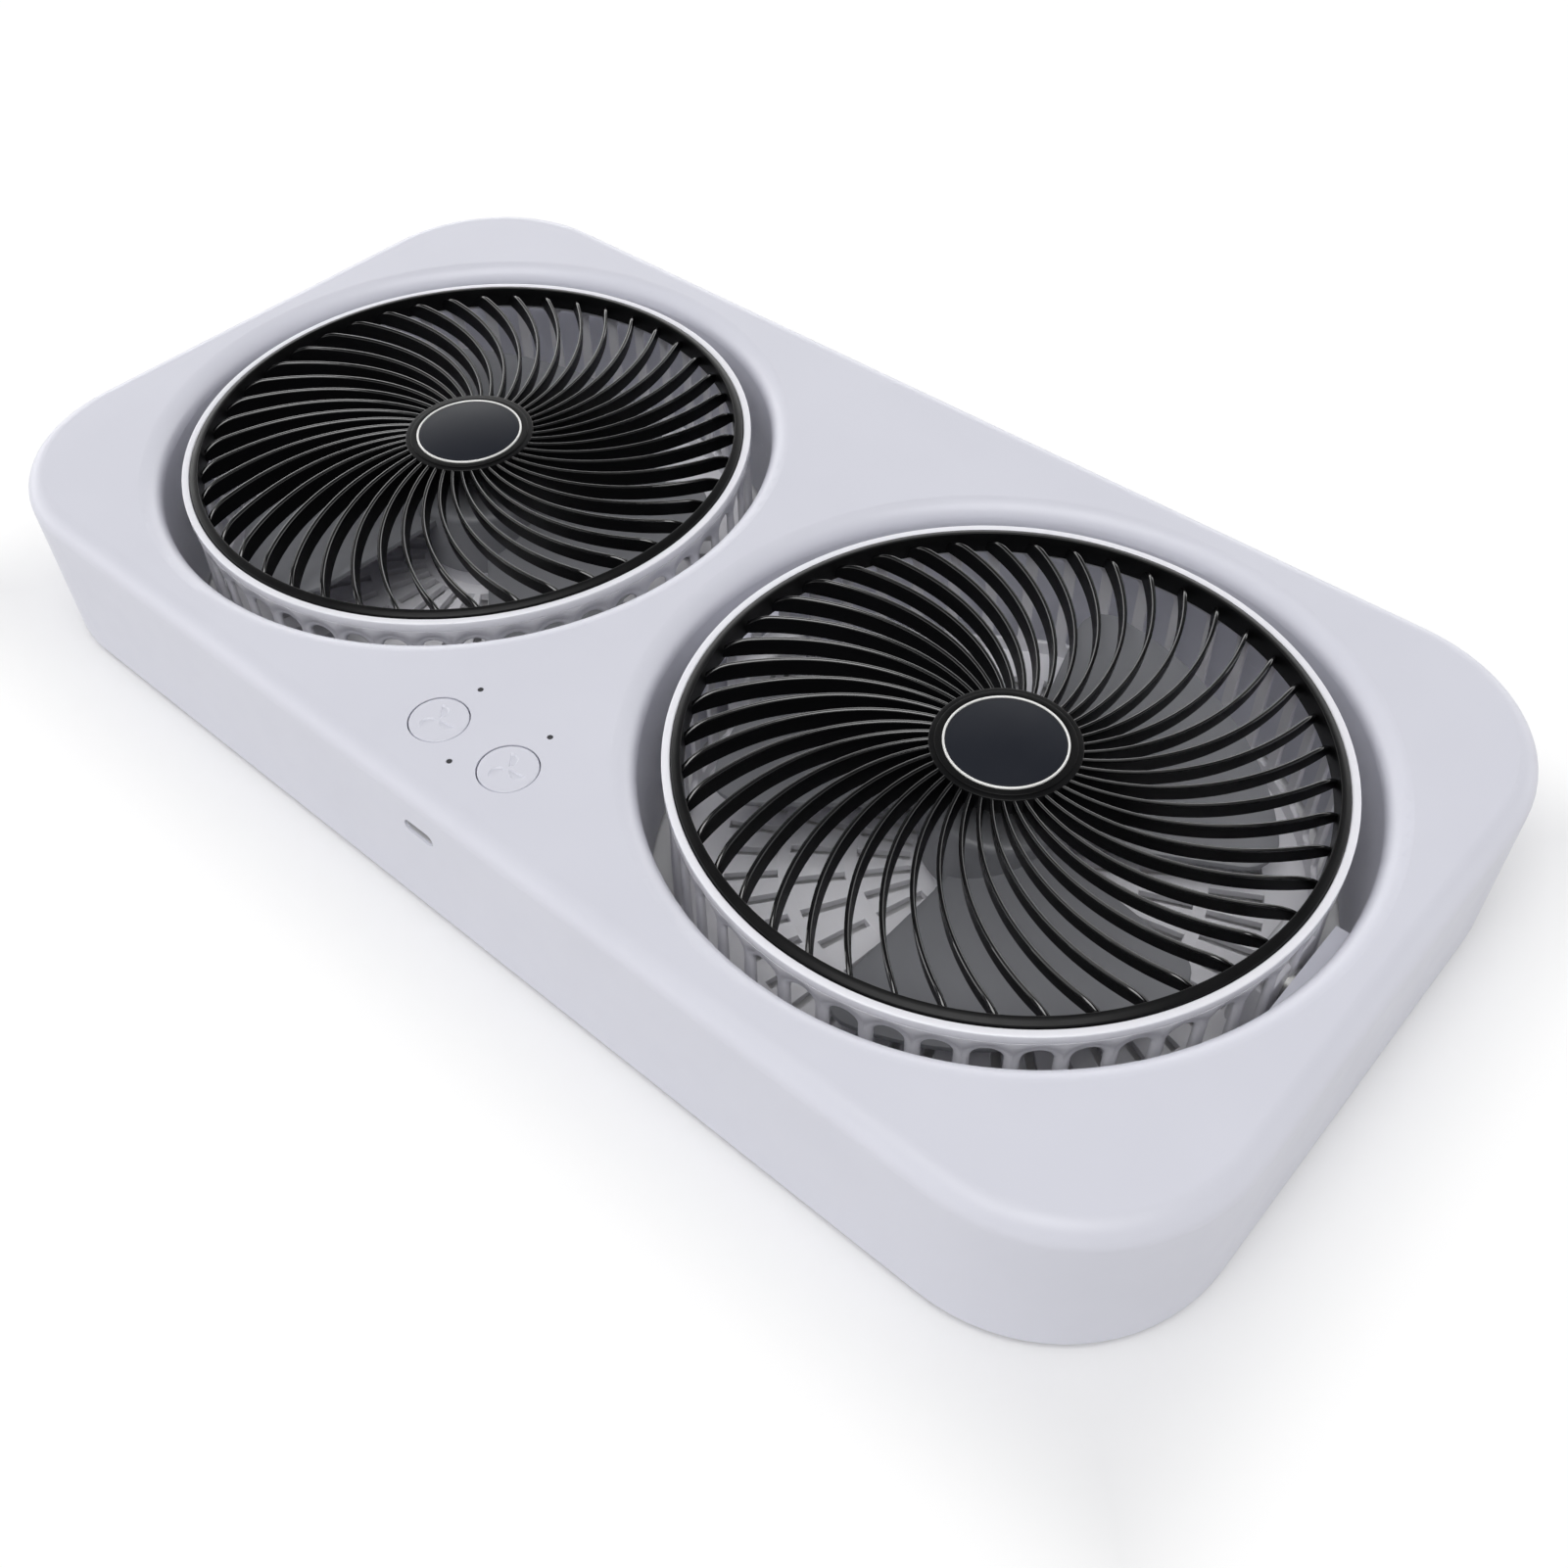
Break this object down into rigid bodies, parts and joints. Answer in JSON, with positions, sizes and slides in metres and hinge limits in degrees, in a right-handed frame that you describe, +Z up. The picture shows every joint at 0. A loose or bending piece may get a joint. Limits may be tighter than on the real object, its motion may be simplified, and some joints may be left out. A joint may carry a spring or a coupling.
{
  "type": "dual-head desk fan",
  "caption": "Flat rounded desk fan body with round wells that hold tilting heads with swirl grilles, push buttons and a charging socket on the front side.",
  "frame": {"origin": "centre of the footprint, on the surface that the rubber feet stand on", "axes": "+X along the long side towards the right head, -Y towards the side with buttons and socket, +Z up out of the grilles"},
  "size_m": [0.364, 0.189, 0.046],
  "materials": {
    "shell_white": "satin moulded",
    "cage_white": "moulded",
    "rim_white": "gloss moulded",
    "button_white": "satin moulded",
    "grille_black": "gloss moulded",
    "hub_dark": "satin",
    "trim_silver": "polished",
    "blade_grey": "satin moulded",
    "motor_steel": "rolled",
    "pin_steel": "ground",
    "screw_steel": "zinc",
    "socket_steel": "drawn",
    "foot_rubber": "matt",
    "bush_plastic": "natural",
    "inner_plastic": "moulded",
    "switch_black": "moulded",
    "board_green": "lacquered",
    "lamp_clear": "clear",
    "lamp_chip": "clear",
    "pack_wrap": "foil pouch in film"
  },
  "bodies": {
    "housing": {"top_shell": "shell_white", "bottom_cover": "shell_white", "rubber_feet": "foot_rubber", "case_screws": "screw_steel", "control_board": "board_green", "board_screws": "screw_steel", "charging_socket": "socket_steel", "lamp_pipes": "lamp_clear", "lamp_chips": "lamp_chip", "battery_tray": "inner_plastic", "battery_pack": "pack_wrap", "battery_guard_board": "board_green", "switch_body_left": "switch_black", "switch_body_right": "switch_black", "pivot_bushes_left": "bush_plastic", "pivot_bushes_right": "bush_plastic"},
    "head_left": {"rear_cage_left": "cage_white", "front_ring_left": "rim_white", "grille_left": "grille_black", "hub_trim_ring_left": "trim_silver", "hub_plate_left": "hub_dark", "motor_left": "motor_steel", "motor_screws_left": "screw_steel", "pivot_pins_left": "pin_steel"},
    "rotor_left": {"impeller_left": "blade_grey", "motor_shaft_left": "pin_steel"},
    "left_button": {"button_left": "button_white", "switch_plunger_left": "switch_black"},
    "head_right": {"rear_cage_right": "cage_white", "front_ring_right": "rim_white", "grille_right": "grille_black", "hub_trim_ring_right": "trim_silver", "hub_plate_right": "hub_dark", "motor_right": "motor_steel", "motor_screws_right": "screw_steel", "pivot_pins_right": "pin_steel"},
    "rotor_right": {"impeller_right": "blade_grey", "motor_shaft_right": "pin_steel"},
    "right_button": {"button_right": "button_white", "switch_plunger_right": "switch_black"}
  },
  "joints": [
    {"name": "head_left_tilt", "type": "hinge", "parent": "housing", "child": "head_left", "pos_m": [-0.0878, 0, 0.02375], "axis": [1, 0, 0], "range_deg": [-90, 90]},
    {"name": "rotor_left_spin", "type": "hinge", "parent": "head_left", "child": "rotor_left", "pos_m": [-0.0878, 0, 0.02375], "axis": [0, 0, 1], "continuous": true},
    {"name": "left_button_press", "type": "slide", "parent": "housing", "child": "left_button", "axis": [0, 0, -1], "range_m": [0, 0.0008], "stiffness_N_per_m": 1200},
    {"name": "head_right_tilt", "type": "hinge", "parent": "housing", "child": "head_right", "pos_m": [0.0878, 0, 0.02375], "axis": [1, 0, 0], "range_deg": [-90, 90]},
    {"name": "rotor_right_spin", "type": "hinge", "parent": "head_right", "child": "rotor_right", "pos_m": [0.0878, 0, 0.02375], "axis": [0, 0, 1], "continuous": true},
    {"name": "right_button_press", "type": "slide", "parent": "housing", "child": "right_button", "axis": [0, 0, -1], "range_m": [0, 0.0008], "stiffness_N_per_m": 1200}
  ]
}
